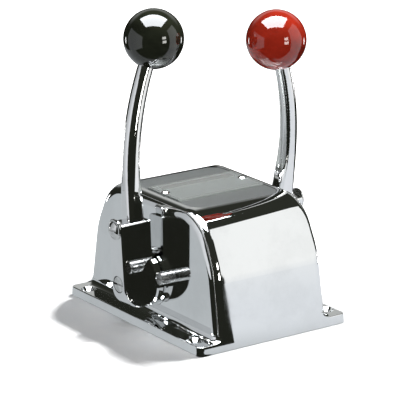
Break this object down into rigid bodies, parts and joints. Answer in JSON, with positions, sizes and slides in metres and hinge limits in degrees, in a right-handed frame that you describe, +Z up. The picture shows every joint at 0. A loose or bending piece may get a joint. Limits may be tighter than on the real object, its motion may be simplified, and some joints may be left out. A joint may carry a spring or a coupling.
{
  "type": "boat throttle control lever",
  "caption": "Top-mount marine engine control: domed chrome housing with a gear lever and a throttle lever at its sides, each with a ball knob and a cable crank inside.",
  "frame": {"origin": "middle of the base's underside, where it rests on the deck", "axes": "+Z up, X along the levers' common pivot line with the black gear knob on the -X side and the red throttle knob on the +X side, -Y towards the housing's front face"},
  "size_m": [0.1666, 0.1738, 0.2334],
  "materials": {
    "housing_chrome": "polished chrome plate, satin field on the top",
    "lever_chrome": "polished chrome plate",
    "hardware_chrome": "polished chrome plate",
    "nameplate_metal": "etched satin grey",
    "knob_black": "moulded, high gloss",
    "knob_red": "moulded, high gloss",
    "bearing_bronze": "machined",
    "swivel_brass": "machined",
    "block_casting": "as cast",
    "machined_steel": "turned and milled",
    "fastener_steel": "plain stainless",
    "spring_steel": "drawn wire and stamped strip",
    "pad_plastic": "moulded friction material"
  },
  "bodies": {
    "base": {"housing": "housing_chrome", "nameplate": "nameplate_metal", "nameplate_screws": "hardware_chrome", "bearing_block": "block_casting", "bearing_block_screws": "fastener_steel", "shift_bush": "bearing_bronze", "throttle_bush": "bearing_bronze", "shift_stop_pins": "hardware_chrome", "throttle_stop_pins": "hardware_chrome", "detent_ball": "machined_steel", "detent_spring": "spring_steel", "detent_adjuster": "fastener_steel", "friction_pad": "pad_plastic", "friction_spring": "spring_steel", "friction_adjuster": "fastener_steel"},
    "shift_lever": {"shift_lever_foot": "lever_chrome", "shift_lever_bar": "lever_chrome", "shift_knob": "knob_black", "shift_bar_screw": "hardware_chrome", "shift_bar_washer": "hardware_chrome", "shift_shaft_screw": "hardware_chrome", "shift_hub_disc": "lever_chrome", "shift_shaft": "machined_steel", "shift_shaft_key": "machined_steel", "shift_retaining_ring": "spring_steel", "shift_crank": "machined_steel", "shift_crank_screw": "fastener_steel", "shift_detent_plate": "machined_steel"},
    "throttle_lever": {"throttle_lever_foot": "lever_chrome", "throttle_lever_bar": "lever_chrome", "throttle_knob": "knob_red", "throttle_bar_screw": "hardware_chrome", "throttle_bar_washer": "hardware_chrome", "throttle_shaft_screw": "hardware_chrome", "throttle_hub_disc": "lever_chrome", "throttle_shaft": "machined_steel", "throttle_shaft_key": "machined_steel", "throttle_retaining_ring": "spring_steel", "throttle_crank": "machined_steel", "throttle_crank_screw": "fastener_steel", "throttle_brake_drum": "machined_steel"},
    "shift_swivel": {"shift_cable_swivel": "swivel_brass", "shift_swivel_clip": "spring_steel"},
    "throttle_swivel": {"throttle_cable_swivel": "swivel_brass", "throttle_swivel_clip": "spring_steel"}
  },
  "joints": [
    {"name": "shift_lever_turn", "type": "hinge", "parent": "base", "child": "shift_lever", "pos_m": [0, 0, 0.0335], "axis": [1, 0, 0], "range_deg": [-41.7, 48.3]},
    {"name": "throttle_lever_turn", "type": "hinge", "parent": "base", "child": "throttle_lever", "pos_m": [0, 0, 0.0335], "axis": [1, 0, 0], "range_deg": [-55.8, 34.2]},
    {"name": "shift_swivel_turn", "type": "hinge", "parent": "shift_lever", "child": "shift_swivel", "pos_m": [-0.0303, 0.03394, 0.03154], "axis": [1, 0, 0], "range_deg": [-49.3, 42.7]},
    {"name": "throttle_swivel_turn", "type": "hinge", "parent": "throttle_lever", "child": "throttle_swivel", "pos_m": [0.0303, 0.0334, 0.03987], "axis": [1, 0, 0], "range_deg": [-35.2, 56.8]}
  ],
  "couplings": [
    {"joint": "shift_swivel_turn", "follows": "shift_lever_turn", "ratio": -1},
    {"joint": "throttle_swivel_turn", "follows": "throttle_lever_turn", "ratio": -1}
  ]
}
